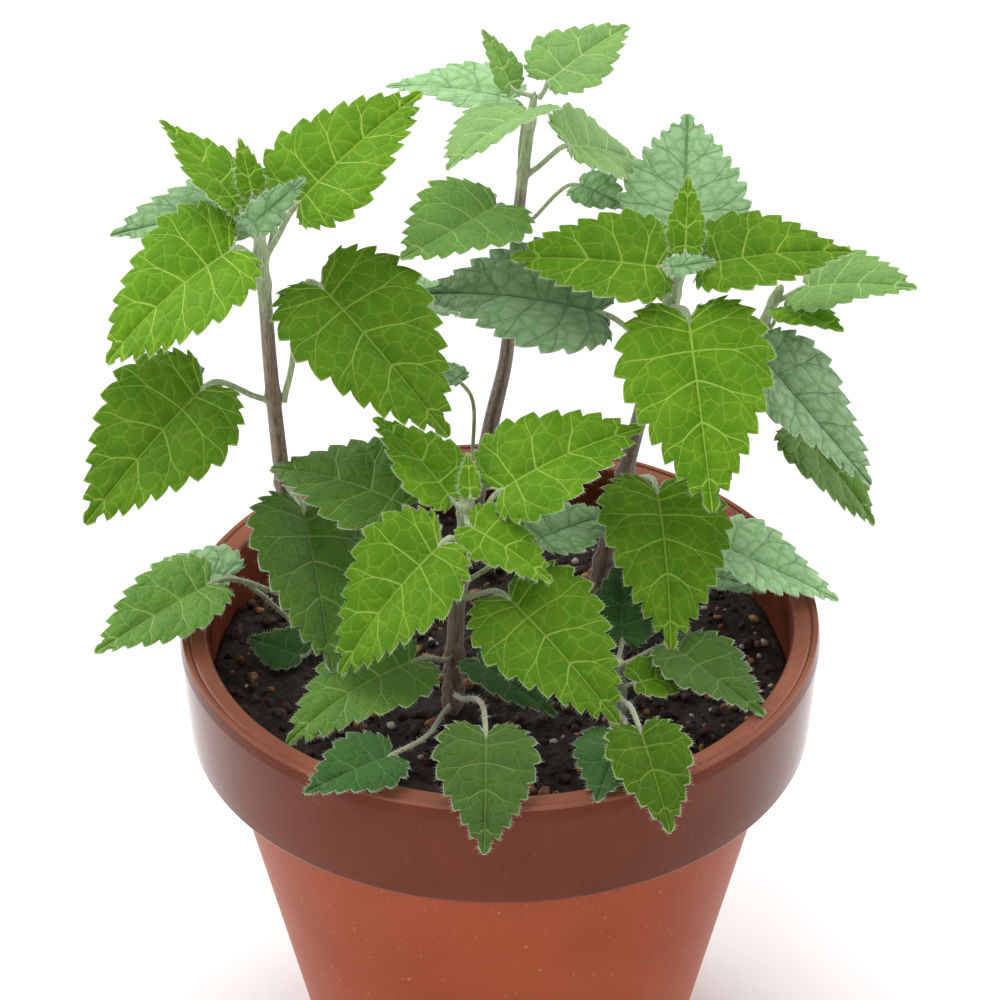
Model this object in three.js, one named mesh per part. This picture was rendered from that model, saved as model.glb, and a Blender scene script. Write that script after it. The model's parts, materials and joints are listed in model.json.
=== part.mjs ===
// A pot of catnip: a tapered clay pot with a rim band, potting soil, and six leafy stems.
// Millimetres, +Z up. The origin is the middle of the pot's underside, on the surface it stands on.
// Compass angles are degrees seen from above: 0 points along +X, 90 along +Y.
import * as THREE from 'three';

// ---------------------------------------------------------------- pot and soil
const potHeight = 125;
const rimRadius = 75;
const rimFace = 7; // width of the flat face on top of the rim
const bandHeight = 28;
const bandTaper = 2; // the band is this much narrower at its lower edge
const bandStep = 7; // how far the band stands out over the body below it
const baseRadius = 43;
const wall = 6;
const ledgeRise = 7; // inside, the pot widens to the rim over this height
const floorThickness = 8;
const edgeRound = 1.2;
const grooveInset = 2.2; // from the rim's outer edge to the middle of its groove
const grooveWidth = 0.9;
const grooveDepth = 0.6;
const soilBelowRim = 16;
const soilMound = 2; // the soil is this much higher in the middle
const plantDatum = 16; // heights on the plants are measured from this far below the rim
const aroundPot = 48; // facets around the pot and the soil
const clearance = 0.3; // between any two pieces that meet

// ---------------------------------------------------------------- leaves and stems
const stemSides = [-20, 20, 70, 110, 160, 200, 250, 290]; // a square stem with blunt corners
const stemSteps = 14;
const stalkSteps = 5;
const stalkRadius = 0.45; // of the thinnest stalk
const stalkGain = 0.008; // millimetres of radius more for each millimetre of blade
const teeth = 9; // on each side of a leaf
const toothDepth = 0.042; // share of the blade's length
const toothFade = 0.15; // share of the outline over which the teeth grow from the notch or to the tip
const notchStart = 0.03; // share of the outline that the leaf stalk's notch takes up
const tipEnd = 0.985; // share of the outline where the blunt tip closes
const ribTop = 0.3; // the midrib stands this high over a blade of the full size
const ribBottom = 0.7; // and this deep under it, at the stalk
const fullSize = 40; // length of a blade with the full thickness; shorter ones are thinner
const ribTaper = 0.6; // share of that thickness lost at the tip
const veinCrowding = 1.7; // 1 spaces the side veins evenly, more crowds them at the stalk
const bladeFold = 8; // each half of a blade rises this many degrees from the midrib
const outline = new THREE.SplineCurve([ // half a heart: share of the length, share of half the width
  new THREE.Vector2(0, 0),
  new THREE.Vector2(-0.08, 0.2),
  new THREE.Vector2(-0.1, 0.5),
  new THREE.Vector2(0.02, 0.84),
  new THREE.Vector2(0.2, 1),
  new THREE.Vector2(0.42, 0.9),
  new THREE.Vector2(0.68, 0.6),
  new THREE.Vector2(0.88, 0.27),
  new THREE.Vector2(1, 0),
]);

const looks = {
  clay: new THREE.MeshStandardMaterial({ color: '#b5532f', roughness: 0.7, metalness: 0 }),
  soil: new THREE.MeshStandardMaterial({ color: '#3b2a1e', roughness: 1, metalness: 0 }),
  stem: new THREE.MeshStandardMaterial({ color: '#77604a', roughness: 0.7, metalness: 0 }),
  fresh: new THREE.MeshStandardMaterial({ color: '#68a51c', roughness: 0.6, metalness: 0 }),
  green: new THREE.MeshStandardMaterial({ color: '#4f8b26', roughness: 0.6, metalness: 0 }),
  deep: new THREE.MeshStandardMaterial({ color: '#3a6a26', roughness: 0.7, metalness: 0 }),
  pale: new THREE.MeshStandardMaterial({ color: '#8db283', roughness: 0.75, metalness: 0 }),
};

// A stem: where it stands on the soil, then the points it passes, as [east, north, height] from its
// foot, and its thickness at the foot and at the tip. Heights are above the plants' datum.
// A leaf: `at` is the height of its node up the stem. `stalk` is the compass angle, rise and length
// of the stalk. A leaf that hangs over the rim has `over` instead: the stalk's compass angle, and
// where its blade starts, inwards from the rim's edge and above it. `blade` is the compass angle, rise and
// roll of the blade, and `arch` bends it down towards its tip by that many degrees.
const plants = {
  left: {
    foot: [-43, 10],
    through: [[-6.5, -1, 41], [-9, -2, 72], [-11, -1, 112], [-12, -1, 122]],
    thick: [4, 2.2],
    leaves: [
      { at: 121, stalk: [110, 60, 4], blade: [115, 65, 0], long: 13, wide: 8, arch: 15, look: 'fresh' },
      { at: 119, stalk: [-105, 10, 5], blade: [30, 30, 55], long: 17, wide: 9, arch: 12, look: 'pale' },
      { at: 117, stalk: [155, 40, 6], blade: [130, 30, 22], long: 30, wide: 23, arch: 16, look: 'fresh' },
      { at: 110, stalk: [33, 45, 14], blade: [37, 34, 9], long: 40, wide: 33, arch: 20, look: 'fresh' },
      { at: 110, stalk: [-140, 28, 9], blade: [-160, -25, -18], long: 41, wide: 36, arch: 36, look: 'fresh' },
      { at: 102, stalk: [92, 32, 19], blade: [-165, 4, -8], long: 36, wide: 28, arch: 14, look: 'pale' },
      { at: 72, stalk: [-158, 22, 18], blade: [-143, -30, -18], long: 42, wide: 37, arch: 18, look: 'fresh' },
      { at: 72, stalk: [10, 68, 31], blade: [-41, -27, 13], long: 46, wide: 40, arch: 16, look: 'fresh' },
      { at: 48, stalk: [-60, -10, 10], blade: [-76, -32, -20], long: 41, wide: 36, arch: 6, look: 'green' },
      { at: 15, over: [-165, 7, 7], blade: [-151, -14, -7], long: 32, wide: 27, arch: 8, look: 'green' },
      { at: 5, over: [176, 10, 4], blade: [155, 0, -5], long: 22, wide: 18, arch: 20, look: 'pale' },
      { at: 3, stalk: [-114, 4, 9], blade: [145, -2, -16], long: 16, wide: 14, arch: 6, look: 'deep' },
    ],
  },
  front: {
    foot: [-11, -18],
    through: [[1, 2, 28], [3, 1, 57], [2.5, 1, 60]],
    thick: [4, 2.4],
    leaves: [
      { at: 59, stalk: [0, 60, 3], blade: [95, 58, 0], long: 10, wide: 6, arch: 15, look: 'fresh' },
      { at: 57, stalk: [122, 5, 6], blade: [133, 35, 8], long: 28, wide: 23, arch: 26, look: 'fresh' },
      { at: 57, stalk: [-78, 2, 6], blade: [-24, -16, 10], long: 23, wide: 19, arch: 24, look: 'fresh' },
      { at: 50, stalk: [25, 48, 14], blade: [18, 28, 14], long: 37, wide: 32, arch: 30, look: 'fresh' },
      { at: 45, stalk: [158, 36, 17], blade: [155, 15, -11], long: 37, wide: 31, arch: 34, look: 'green' },
      { at: 49, stalk: [-110, 30, 17], blade: [-154, -36, -15], long: 40, wide: 33, arch: 32, look: 'fresh' },
      { at: 34, stalk: [-46, 23, 18], blade: [-43, -21, 13], long: 39, wide: 34, arch: 22, look: 'fresh' },
      { at: 37, stalk: [25, 18, 21], blade: [38, 0, 10], long: 24, wide: 20, arch: 18, look: 'pale' },
      { at: 17, stalk: [-127, 25, 17], blade: [-152, -3, -5], long: 36, wide: 30, arch: 40, look: 'green' },
      { at: 13, stalk: [-37, 40, 9], blade: [-38, -8, -6], long: 24, wide: 20, arch: 12, look: 'deep' },
      { at: 8, over: [-80, 14, 11], blade: [-90, -20, -5], long: 30, wide: 25, arch: 15, look: 'green' },
      { at: 5, over: [-108, 10, 4.5], blade: [-145, 2, -12], long: 23, wide: 19, arch: 10, look: 'deep' },
    ],
  },
  back: {
    foot: [-9, 42],
    through: [[7, 2, 42], [10.5, 3, 60], [13.5, 5, 100], [17, 6, 130]],
    thick: [4, 2],
    leaves: [
      { at: 129, stalk: [-170, 25, 6], blade: [138, 60, 5], long: 15, wide: 11, arch: 15, look: 'green' },
      { at: 129, stalk: [5, 45, 5], blade: [41, 20, 10], long: 26, wide: 22, arch: 18, look: 'green' },
      { at: 122, stalk: [-95, 42, 11], blade: [-130, 8, 18], long: 31, wide: 26, arch: 22, look: 'green' },
      { at: 109, stalk: [110, 62, 17], blade: [172, 11, 3], long: 30, wide: 25, arch: 18, look: 'pale' },
      { at: 109, stalk: [-6, 36, 13], blade: [46, -24, 26], long: 32, wide: 25, arch: 18, look: 'green' },
      { at: 97, stalk: [-126, 40, 11], blade: [-130, 2, -10], long: 34, wide: 29, arch: 0, look: 'green' },
      { at: 94, stalk: [27, 24, 18], blade: [-40, 2, 16], long: 15, wide: 13, arch: 18, look: 'pale' },
      { at: 77, stalk: [-175, -8, 17], blade: [-168, 20, 6], long: 35, wide: 28, arch: 14, look: 'pale' },
      { at: 31, stalk: [-140, 74, 27], blade: [138, 10, -4], long: 11, wide: 9, arch: 20, look: 'pale' },
    ],
  },
  right: {
    foot: [22.5, 28],
    through: [[7, 0, 38], [16, -2, 82], [19, -4, 97], [20, -5, 101]],
    thick: [4, 2.2],
    leaves: [
      { at: 100, stalk: [-90, 55, 4], blade: [86, 56, 0], long: 18, wide: 10, arch: 15, look: 'fresh' },
      { at: 98, stalk: [-110, 25, 11], blade: [18, 2, 38], long: 12, wide: 6, arch: 15, look: 'pale' },
      { at: 97, stalk: [-150, 20, 6], blade: [179, 9, -18], long: 35, wide: 30, arch: 15, look: 'fresh' },
      { at: 97, stalk: [-20, 20, 6], blade: [5, 12, 11], long: 35, wide: 29, arch: 22, look: 'fresh' },
      { at: 89, stalk: [76, 45, 13], blade: [86, 31, 5], long: 38, wide: 32, arch: 18, look: 'pale' },
      { at: 87, stalk: [-75, 14, 14], blade: [-82, -36, 6], long: 46, wide: 38, arch: 20, look: 'fresh' },
      { at: 75, stalk: [-163, 37, 19], blade: [176, 15, -15], long: 43, wide: 38, arch: 28, look: 'pale' },
      { at: 75, stalk: [-8, -1, 23], blade: [-40, -34, -11], long: 41, wide: 34, arch: 0, look: 'pale' },
      { at: 38, stalk: [-70, 21, 22], blade: [-82, -23, -10], long: 40, wide: 34, arch: 28, look: 'fresh' },
      { at: 21, over: [-30, 22, 11.5], blade: [-12, -20, 0], long: 32, wide: 27, arch: 5, look: 'pale' },
      { at: 13, stalk: [-20, 4, 26], blade: [-30, 8, 4], long: 16, wide: 13, arch: 14, look: 'pale' },
    ],
  },
  far: {
    foot: [40, 38],
    through: [[16, 3, 51], [22, 4, 71], [26, 5, 81]],
    thick: [3.2, 2],
    leaves: [
      { at: 77, stalk: [10, 20, 8], blade: [-28, 24, 10], long: 29, wide: 25, arch: 20, look: 'green' },
      { at: 70, stalk: [-20, 50, 8], blade: [-42, 8, 0], long: 18, wide: 15, arch: 10, look: 'fresh' },
      { at: 54, stalk: [-53, -8, 19], blade: [-18, -34, 4], long: 32, wide: 27, arch: 28, look: 'green' },
    ],
  },
  low: {
    foot: [27, -25],
    through: [[0.5, 0.5, 11], [0, 0, 22]],
    thick: [3.2, 2.2],
    leaves: [
      { at: 21, stalk: [82, 5, 8], blade: [90, 36, 0], long: 21, wide: 17, arch: 20, look: 'deep' },
      { at: 20, over: [22, 30, 5], blade: [-46, -7, -3], long: 29, wide: 23, arch: 4, look: 'green' },
      { at: 15, stalk: [-57, 30, 8], blade: [27, -2, 13], long: 17, wide: 14, arch: 22, look: 'fresh' },
      { at: 12, over: [-83, 10, 9], blade: [-75, -16, 0], long: 27, wide: 21, arch: 18, look: 'fresh' },
      { at: 8, over: [-90, 17, 3], blade: [-106, -2, 5], long: 22, wide: 20, arch: 10, look: 'deep' },
    ],
  },
};

const innerRadius = rimRadius - rimFace;
const bandBottom = potHeight - bandHeight;
const bandBottomRadius = rimRadius - bandTaper;
const bodyTopRadius = bandBottomRadius - bandStep;
const soilEdge = potHeight - soilBelowRim;
const datum = potHeight - plantDatum;
const bladeSteps = 2 * teeth + 1; // a ring at each tooth's tip and at each gap between teeth
const radians = THREE.MathUtils.degToRad;
const degrees = THREE.MathUtils.radToDeg;

// Turns a profile of [radius, height] pairs, from the bottom up, into a solid of revolution about Z.
function turned(profile) {
  const points = profile.map(([radius, height]) => new THREE.Vector2(radius, height));
  return new THREE.LatheGeometry(points, aroundPot).rotateX(Math.PI / 2);
}

// The inside of the pot, from the edge of its floor up to its rim.
const hollow = [
  [baseRadius - wall, floorThickness],
  [bodyTopRadius - wall, bandBottom],
  [innerRadius, bandBottom + ledgeRise],
  [innerRadius, potHeight - edgeRound],
];

function potGeometry() {
  const groove = rimRadius - grooveInset;
  return turned([
    [0, 0],
    [baseRadius - edgeRound, 0],
    [baseRadius, edgeRound],
    [bodyTopRadius, bandBottom],
    [bandBottomRadius - edgeRound, bandBottom],
    [bandBottomRadius, bandBottom + edgeRound],
    [rimRadius, potHeight - edgeRound],
    [rimRadius - edgeRound, potHeight],
    [groove + grooveWidth / 2, potHeight],
    [groove, potHeight - grooveDepth],
    [groove - grooveWidth / 2, potHeight],
    [innerRadius + edgeRound, potHeight],
    ...hollow.toReversed(),
    [0, floorThickness],
  ]);
}

// Radius of the pot's inside at a height.
function hollowRadius(height) {
  const above = hollow.findIndex((corner) => corner[1] >= height);
  const [lowRadius, low] = hollow[above - 1];
  const [highRadius, high] = hollow[above];
  return THREE.MathUtils.mapLinear(height, low, high, lowRadius, highRadius);
}

// Height of the soil's surface at a distance from the pot's axis.
function soilHeight(distance) {
  return soilEdge + soilMound * (1 - (distance / innerRadius) ** 2);
}

function soilGeometry() {
  const edge = hollowRadius(soilEdge - clearance) - clearance;
  const sides = hollow.map(([radius, height]) => [radius - clearance, height + clearance]);
  const rings = [1, 0.8, 0.6, 0.4, 0.2, 0];
  return turned([
    [0, floorThickness + clearance],
    ...sides.filter((corner) => corner[1] < soilEdge),
    ...rings.map((share) => [edge * share, soilHeight(edge * share)]),
  ]);
}

// Joins rings of points into one closed solid. Each ring runs left, up, right, down as seen from
// the start, and the first and the last ring are closed with flat caps.
function lofted(rings) {
  const side = rings[0].length;
  const last = (rings.length - 1) * side;
  const index = [];
  for (let ring = 0; ring < rings.length - 1; ring += 1) {
    for (let corner = 0; corner < side; corner += 1) {
      const here = ring * side + corner;
      const next = ring * side + ((corner + 1) % side);
      index.push(here, next, next + side, here, next + side, here + side);
    }
  }
  for (let corner = 1; corner < side - 1; corner += 1) {
    index.push(0, corner + 1, corner);
    index.push(last, last + corner, last + corner + 1);
  }
  const geometry = new THREE.BufferGeometry();
  const positions = rings.flat().flatMap((point) => point.toArray());
  geometry.setAttribute('position', new THREE.Float32BufferAttribute(positions, 3));
  geometry.setIndex(index);
  geometry.computeVertexNormals();
  return geometry;
}

// A direction from a compass angle and a rise, both in degrees.
function heading(way, rise) {
  const level = Math.cos(radians(rise));
  const height = Math.sin(radians(rise));
  return new THREE.Vector3(level * Math.cos(radians(way)), level * Math.sin(radians(way)), height);
}

// The axes of something that points along a heading: forward, left and up, turned by a roll.
function axes(way, rise, roll) {
  const forward = heading(way, rise);
  const left = heading(way + 90, 0).applyAxisAngle(forward, radians(roll));
  return { forward, left, up: new THREE.Vector3().crossVectors(forward, left) };
}

function stemCurve(plant) {
  const [east, north] = plant.foot;
  const foot = new THREE.Vector3(east, north, soilHeight(Math.hypot(east, north)) + clearance);
  const bends = plant.through.map(
    ([x, y, height]) => new THREE.Vector3(east + x, north + y, datum + height),
  );
  return new THREE.CatmullRomCurve3([foot, ...bends]);
}

// The share of a stem's curve that lies at a height above the datum.
function shareAtHeight(curve, height) {
  let low = 0;
  let high = 1;
  for (let step = 0; step < 30; step += 1) {
    const middle = (low + high) / 2;
    if (curve.getPoint(middle).z < datum + height) {
      low = middle;
    } else {
      high = middle;
    }
  }
  return low;
}

function stemThickness(plant, share) {
  return THREE.MathUtils.lerp(plant.thick[0], plant.thick[1], share);
}

function stemGeometry(plant) {
  const curve = stemCurve(plant);
  const rings = [];
  for (let step = 0; step <= stemSteps; step += 1) {
    const share = step / stemSteps;
    const centre = curve.getPoint(share);
    const radius = stemThickness(plant, share) / 2;
    rings.push(stemSides.map((angle) => centre.clone().add(heading(angle, 0).multiplyScalar(radius))));
  }
  return lofted(rings);
}

// A point of the blade, bent along its midrib: `along` from the stalk and `across` to the left.
function bladePoint(leaf, blade, base, along, across, lift) {
  const bend = radians(leaf.arch);
  const share = Math.min(along / leaf.long, 1);
  const turn = share > 0 ? bend * share : 0;
  const forward = turn > 0 ? (leaf.long * Math.sin(turn)) / bend : along;
  const drop = turn > 0 ? (leaf.long * (1 - Math.cos(turn))) / bend : 0;
  const fold = radians(bladeFold);
  return base.clone()
    .addScaledVector(blade.forward, forward)
    .addScaledVector(blade.left, across * Math.cos(fold))
    .addScaledVector(blade.up, Math.abs(across) * Math.sin(fold) + lift - drop);
}

// One ring of the blade: left edge, top of the rib, right edge, bottom of the rib.
function bladeRing(leaf, blade, base, step) {
  const share = THREE.MathUtils.lerp(notchStart, tipEnd, step / bladeSteps);
  const edge = outline.getPointAt(share);
  const tangent = outline.getTangentAt(share);
  const fade = Math.min(1, share / toothFade, (1 - share) / toothFade);
  const inward = step % 2 === 0 ? toothDepth * leaf.long * fade : 0;
  const margin = new THREE.Vector2(edge.x * leaf.long, (edge.y * leaf.wide) / 2);
  margin.add(new THREE.Vector2(tangent.y, -tangent.x).multiplyScalar(inward));
  const midrib = leaf.long * tipEnd * (step / bladeSteps) ** veinCrowding;
  const thin = Math.min(1, leaf.long / fullSize) * (1 - ribTaper * (step / bladeSteps));
  return [
    bladePoint(leaf, blade, base, margin.x, margin.y, 0),
    bladePoint(leaf, blade, base, midrib, 0, ribTop * thin),
    bladePoint(leaf, blade, base, margin.x, -margin.y, 0),
    bladePoint(leaf, blade, base, midrib, 0, -ribBottom * thin),
  ];
}

// Where a leaf's stalk ends and its blade begins.
function stalkEnd(leaf, node) {
  if (leaf.stalk) {
    const [way, rise, length] = leaf.stalk;
    return node.clone().addScaledVector(heading(way, rise), length);
  }
  const [way, inset, lift] = leaf.over;
  const outward = heading(way, 0);
  const along = node.dot(outward);
  const across = Math.hypot(node.x, node.y) ** 2 - along ** 2;
  const end = node.clone().addScaledVector(outward, Math.sqrt((rimRadius - inset) ** 2 - across) - along);
  return end.setZ(potHeight + lift);
}

// The stalk leaves the stem's side with a small clearance and runs into the blade's midrib.
function leafGeometry(plant, leaf) {
  const curve = stemCurve(plant);
  const share = shareAtHeight(curve, leaf.at);
  const node = curve.getPoint(share);
  const base = stalkEnd(leaf, node);
  const blade = axes(...leaf.blade);
  const lean = base.clone().sub(node);
  const level = Math.hypot(lean.x, lean.y);
  const way = degrees(Math.atan2(lean.y, lean.x));
  const stalk = axes(way, degrees(Math.atan2(lean.z, level)), 0);
  const radius = stalkRadius + stalkGain * leaf.long;
  const outward = stemThickness(plant, share) / 2 + clearance + radius * Math.abs(stalk.forward.z);
  const start = node.clone().addScaledVector(heading(way, 0), outward);
  const reach = start.distanceTo(base) / 3;
  const path = new THREE.CubicBezierCurve3(
    start,
    start.clone().addScaledVector(stalk.forward, reach),
    base.clone().addScaledVector(blade.forward, -reach),
    base,
  );
  const turnFrom = new THREE.Quaternion().setFromRotationMatrix(basis(stalk));
  const turnTo = new THREE.Quaternion().setFromRotationMatrix(basis(blade));
  const rings = [];
  for (let step = 0; step < stalkSteps; step += 1) {
    const along = step / stalkSteps;
    const centre = path.getPoint(along);
    const forward = step === 0 ? stalk.forward : path.getTangent(along);
    const left = new THREE.Vector3(0, 1, 0).applyQuaternion(turnFrom.clone().slerp(turnTo, along));
    left.addScaledVector(forward, -left.dot(forward)).normalize().multiplyScalar(radius);
    const up = new THREE.Vector3().crossVectors(forward, left);
    rings.push([left, up, left.clone().negate(), up.clone().negate()].map((side) => side.add(centre)));
  }
  for (let step = 0; step <= bladeSteps; step += 1) {
    rings.push(bladeRing(leaf, blade, base, step));
  }
  return lofted(rings);
}

function basis(frame) {
  return new THREE.Matrix4().makeBasis(frame.forward, frame.left, frame.up);
}

function addMesh(group, name, geometry, look) {
  const mesh = new THREE.Mesh(geometry, look);
  mesh.name = name;
  group.add(mesh);
}

const catnip = new THREE.Group();
addMesh(catnip, 'pot', potGeometry(), looks.clay);
addMesh(catnip, 'soil', soilGeometry(), looks.soil);
Object.entries(plants).forEach(([side, plant]) => {
  addMesh(catnip, `stem_${side}`, stemGeometry(plant), looks.stem);
  plant.leaves.forEach((leaf, index) => {
    addMesh(catnip, `leaf_${side}_${index + 1}`, leafGeometry(plant, leaf), looks[leaf.look]);
  });
});

export default catnip;
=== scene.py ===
# A potted catnip: clay pot with a glazed rim band, loose soil, and six stems of toothed, netted leaves.
import json
import math
import random

import bmesh
import bpy
from mathutils import Matrix, Vector, noise


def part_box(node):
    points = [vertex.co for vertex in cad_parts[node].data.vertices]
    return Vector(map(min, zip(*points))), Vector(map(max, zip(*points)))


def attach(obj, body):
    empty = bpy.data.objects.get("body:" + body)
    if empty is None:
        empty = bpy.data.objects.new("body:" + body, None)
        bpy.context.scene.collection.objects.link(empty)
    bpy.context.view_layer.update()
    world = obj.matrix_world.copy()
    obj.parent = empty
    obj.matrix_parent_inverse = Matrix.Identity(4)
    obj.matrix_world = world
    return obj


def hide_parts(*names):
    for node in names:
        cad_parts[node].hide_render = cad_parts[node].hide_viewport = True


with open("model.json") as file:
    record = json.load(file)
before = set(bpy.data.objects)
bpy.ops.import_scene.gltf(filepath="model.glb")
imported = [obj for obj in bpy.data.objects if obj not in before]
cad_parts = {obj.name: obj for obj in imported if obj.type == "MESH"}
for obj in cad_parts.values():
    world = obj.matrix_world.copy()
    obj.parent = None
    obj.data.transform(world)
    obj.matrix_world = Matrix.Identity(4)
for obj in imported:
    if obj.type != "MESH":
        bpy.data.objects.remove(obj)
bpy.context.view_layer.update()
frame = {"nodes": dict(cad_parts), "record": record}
nodes = frame["nodes"]
mm = 0.001
print("frame loaded:", len(nodes), "nodes")


# ---- small helpers

def clamp(value, low=0.0, high=1.0):
    return max(low, min(high, value))


def smooth(low, high, value):
    t = clamp((value - low) / (high - low))
    return t * t * (3 - 2 * t)


def mix(a, b, t):
    return a + (b - a) * t


def along(points, t):
    # a smooth curve through evenly spaced points, t from 0 to 1
    last = len(points) - 1
    place = clamp(t) * last
    i = min(int(place), last - 1)
    f = place - i
    p1, p2 = points[i], points[i + 1]
    p0 = points[i - 1] if i > 0 else p1 * 2 - p2
    p3 = points[i + 2] if i + 2 <= last else p2 * 2 - p1
    return (p1 * 2 + (p2 - p0) * f + (p0 * 2 - p1 * 5 + p2 * 4 - p3) * f * f
            + (p1 * 3 - p0 - p2 * 3 + p3) * f * f * f) * 0.5


def finishPiece(name, bm, materials, replaced=(), flip=True):
    bmesh.ops.remove_doubles(bm, verts=bm.verts, dist=0.0005 * mm)
    if flip:
        bmesh.ops.recalc_face_normals(bm, faces=bm.faces)
    for face in bm.faces:
        face.smooth = True
    mesh = bpy.data.meshes.new(name)
    bm.to_mesh(mesh)
    bm.free()
    piece = bpy.data.objects.new(name, mesh)
    bpy.context.scene.collection.objects.link(piece)
    for material in materials:
        mesh.materials.append(material)
    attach(piece, "root")
    if replaced:
        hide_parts(*replaced)
    return piece


# ---- shader helpers

def newMaterial(name):
    material = bpy.data.materials.new(name)
    material.use_nodes = True
    return material, material.node_tree, material.node_tree.nodes["Principled BSDF"]


def addNode(tree, kind, values=None, **settings):
    node = tree.nodes.new(kind)
    for key, value in settings.items():
        setattr(node, key, value)
    for key, value in (values or {}).items():
        node.inputs[key].default_value = value
    return node


def newGroup(name, inputs, outputs):
    tree = bpy.data.node_groups.new(name, "ShaderNodeTree")
    for label, kind, default in inputs:
        socket = tree.interface.new_socket(name=label, in_out="INPUT", socket_type=kind)
        if default is not None:
            socket.default_value = default
    for label, kind in outputs:
        tree.interface.new_socket(name=label, in_out="OUTPUT", socket_type=kind)
    return tree, tree.nodes.new("NodeGroupInput"), tree.nodes.new("NodeGroupOutput")


def useGroup(tree, group, values=None):
    node = tree.nodes.new("ShaderNodeGroup")
    node.node_tree = group
    for key, value in (values or {}).items():
        node.inputs[key].default_value = value
    return node


def mixColour(tree, factor, first, second, mode="MIX"):
    # factor, first and second are sockets, numbers or colours; gives back the result socket
    node = addNode(tree, "ShaderNodeMix", data_type="RGBA", blend_type=mode)
    for index, given in ((0, factor), (6, first), (7, second)):
        if isinstance(given, bpy.types.NodeSocket):
            tree.links.new(given, node.inputs[index])
        elif isinstance(given, tuple):
            node.inputs[index].default_value = (*given, 1)
        else:
            node.inputs[index].default_value = given
    return node.outputs[2]


def rangeOf(tree, value, fromLow, fromHigh, toLow=0.0, toHigh=1.0, kind="SMOOTHSTEP"):
    node = addNode(tree, "ShaderNodeMapRange", {1: fromLow, 2: fromHigh, 3: toLow, 4: toHigh},
                   interpolation_type=kind)
    tree.links.new(value, node.inputs[0])
    return node.outputs[0]


def mathOf(tree, operation, first, second=None, third=None):
    node = addNode(tree, "ShaderNodeMath", operation=operation)
    for index, given in enumerate((first, second, third)):
        if isinstance(given, bpy.types.NodeSocket):
            tree.links.new(given, node.inputs[index])
        elif given is not None:
            node.inputs[index].default_value = given
    return node.outputs[0]


def noiseOf(tree, vector, scale, detail=3.0, roughness=0.55):
    node = addNode(tree, "ShaderNodeTexNoise", {"Scale": scale, "Detail": detail, "Roughness": roughness})
    tree.links.new(vector, node.inputs["Vector"])
    return node.outputs["Fac"]


# ---- camera

cameraSetup = {"lens": 187.4, "sensor": 36, "distance": 1.2, "elevation": 33.84, "aimOverPot": 33}


def makeCamera(setup):
    data = bpy.data.cameras.new("camera")
    data.lens = setup["lens"]
    data.sensor_width = setup["sensor"]
    data.clip_end = 20
    camera = bpy.data.objects.new("camera", data)
    bpy.context.scene.collection.objects.link(camera)
    aim = Vector((0, 0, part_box("pot")[1].z + setup["aimOverPot"] * mm))
    tilt = math.radians(setup["elevation"])
    camera.location = aim + Vector((0, -math.cos(tilt), math.sin(tilt))) * setup["distance"]
    camera.rotation_euler = (aim - camera.location).to_track_quat("-Z", "Y").to_euler()
    bpy.context.scene.camera = camera


makeCamera(cameraSetup)
bpy.context.scene.view_settings.view_transform = "Standard"


# ---- pot: a profile spun round, with a glazed band, a grooved rim and a plain flat base

potShape = {
    "steps": 160,
    "bandHeight": 28,
    "bandTaper": 2,
    "bandStep": 7,
    "baseRadius": 43,
    "wall": 6,
    "ledge": 7,
    "floor": 8,
    "rimFace": 7,
    "round": 1.2,
    "grooveInset": 2.2,
    "grooveWidth": 1.0,
    "grooveDepth": 0.6,
}


def cornerArc(before, corner, after, radius, steps=5):
    # points of a rounded corner between two straight stretches of a profile
    a = (before - corner).normalized()
    b = (after - corner).normalized()
    half = math.acos(clamp(a.dot(b), -1, 1)) / 2
    reach = min(radius / math.tan(half), (before - corner).length * 0.45, (after - corner).length * 0.45)
    start, end = corner + a * reach, corner + b * reach
    points = []
    for i in range(steps + 1):
        t = i / steps
        points.append(start * (1 - t) ** 2 + corner * 2 * t * (1 - t) + end * t * t)
    return points


def potProfile(shape):
    low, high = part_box("pot")
    height, rim = high.z / mm, high.x / mm
    bandLow = height - shape["bandHeight"]
    bandFoot = rim - shape["bandTaper"]
    bodyTop = bandFoot - shape["bandStep"]
    inner = rim - shape["rimFace"]
    groove = rim - shape["grooveInset"]
    half = shape["grooveWidth"] / 2
    deep = height - shape["grooveDepth"]
    corners = [  # radius, height, rounding
        (0, 0, 0),
        (shape["baseRadius"], 0, 1.2),
        (bodyTop, bandLow, 0.5),
        (bandFoot, bandLow, 1.3),
        (rim, height - 3.2, 2.0),
        (rim - 0.5, height, 1.4),
        (groove + half, height - 0.05, 0.35),
        (groove, deep, 0.3),
        (groove - half, height - 0.15, 0.35),
        (inner + 0.4, height - 0.3, 1.6),
        (inner, height - 4, 1.5),
        (inner, bandLow + shape["ledge"], 2),
        (bodyTop - shape["wall"], bandLow, 2),
        (shape["baseRadius"] - shape["wall"], shape["floor"], 2),
        (0, shape["floor"], 0),
    ]
    places = [Vector((r, h)) for r, h, rounding in corners]
    points = [places[0]]
    for i in range(1, len(corners) - 1):
        points += cornerArc(places[i - 1], places[i], places[i + 1], corners[i][2])
    points.append(places[-1])
    dense = [points[0]]
    for point in points[1:]:  # long straight stretches get points between
        span = (point - dense[-1]).length
        for k in range(1, int(span / 6) + 1):
            dense.append(dense[-1] + (point - dense[-1]) * (1 / (int(span / 6) + 2 - k)))
        dense.append(point)
    return dense


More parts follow.
